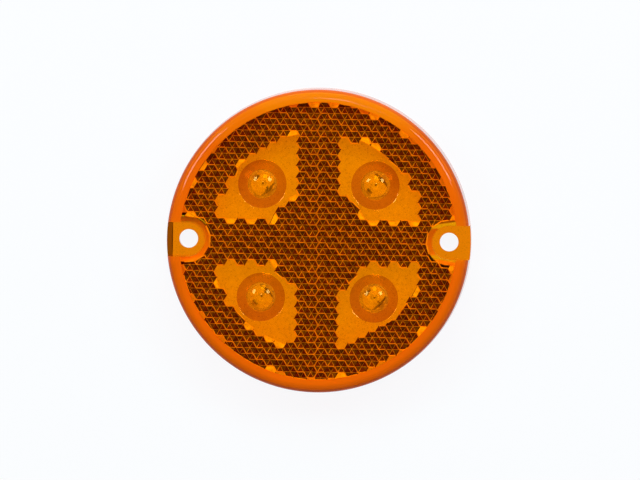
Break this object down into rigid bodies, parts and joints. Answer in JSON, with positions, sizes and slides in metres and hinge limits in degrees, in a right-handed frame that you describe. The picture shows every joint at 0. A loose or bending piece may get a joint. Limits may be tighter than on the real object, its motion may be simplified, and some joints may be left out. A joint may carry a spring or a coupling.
{
  "type": "amber led marker lamp with reflex reflector",
  "caption": "Round amber LED marker lamp with a moulded reflex reflector, clear light windows, open screw ears and a sealed rear cover with a cable grommet.",
  "frame": {"origin": "centre of the rear mounting face, at the bottom of the lamp lying on its back", "axes": "+Z out of the lens towards the viewer, +X towards the right-hand screw hole, +Y towards the lamp's top"},
  "size_m": [0.082, 0.082, 0.018],
  "materials": {
    "lens_amber": "polished transparent amber acrylic",
    "cover_black": "fine spark-eroded moulded black ABS",
    "board_white": "white solder mask on glass epoxy board",
    "led_epoxy": "clear cast epoxy",
    "tinned_metal": "bright tinned",
    "solder": "satin solder",
    "chip_black": "glazed chip with tinned ends",
    "package_black": "moulded black epoxy package",
    "capacitor_tan": "fired ceramic",
    "grommet_rubber": "soft black rubber"
  },
  "bodies": {
    "root": {"lens": "lens_amber", "rear_cover": "cover_black", "circuit_board": "board_white", "led_1": "led_epoxy", "led_2": "led_epoxy", "led_3": "led_epoxy", "led_4": "led_epoxy", "led_leads_1": "tinned_metal", "led_leads_2": "tinned_metal", "led_leads_3": "tinned_metal", "led_leads_4": "tinned_metal", "resistor_1": "chip_black", "resistor_2": "chip_black", "resistor_3": "chip_black", "resistor_4": "chip_black", "polarity_diode": "package_black", "surge_suppressor": "package_black", "current_regulator": "package_black", "capacitor": "capacitor_tan", "supply_terminal": "tinned_metal", "earth_terminal": "tinned_metal", "solder_joints": "solder", "cable_grommet": "grommet_rubber"}
  },
  "joints": []
}
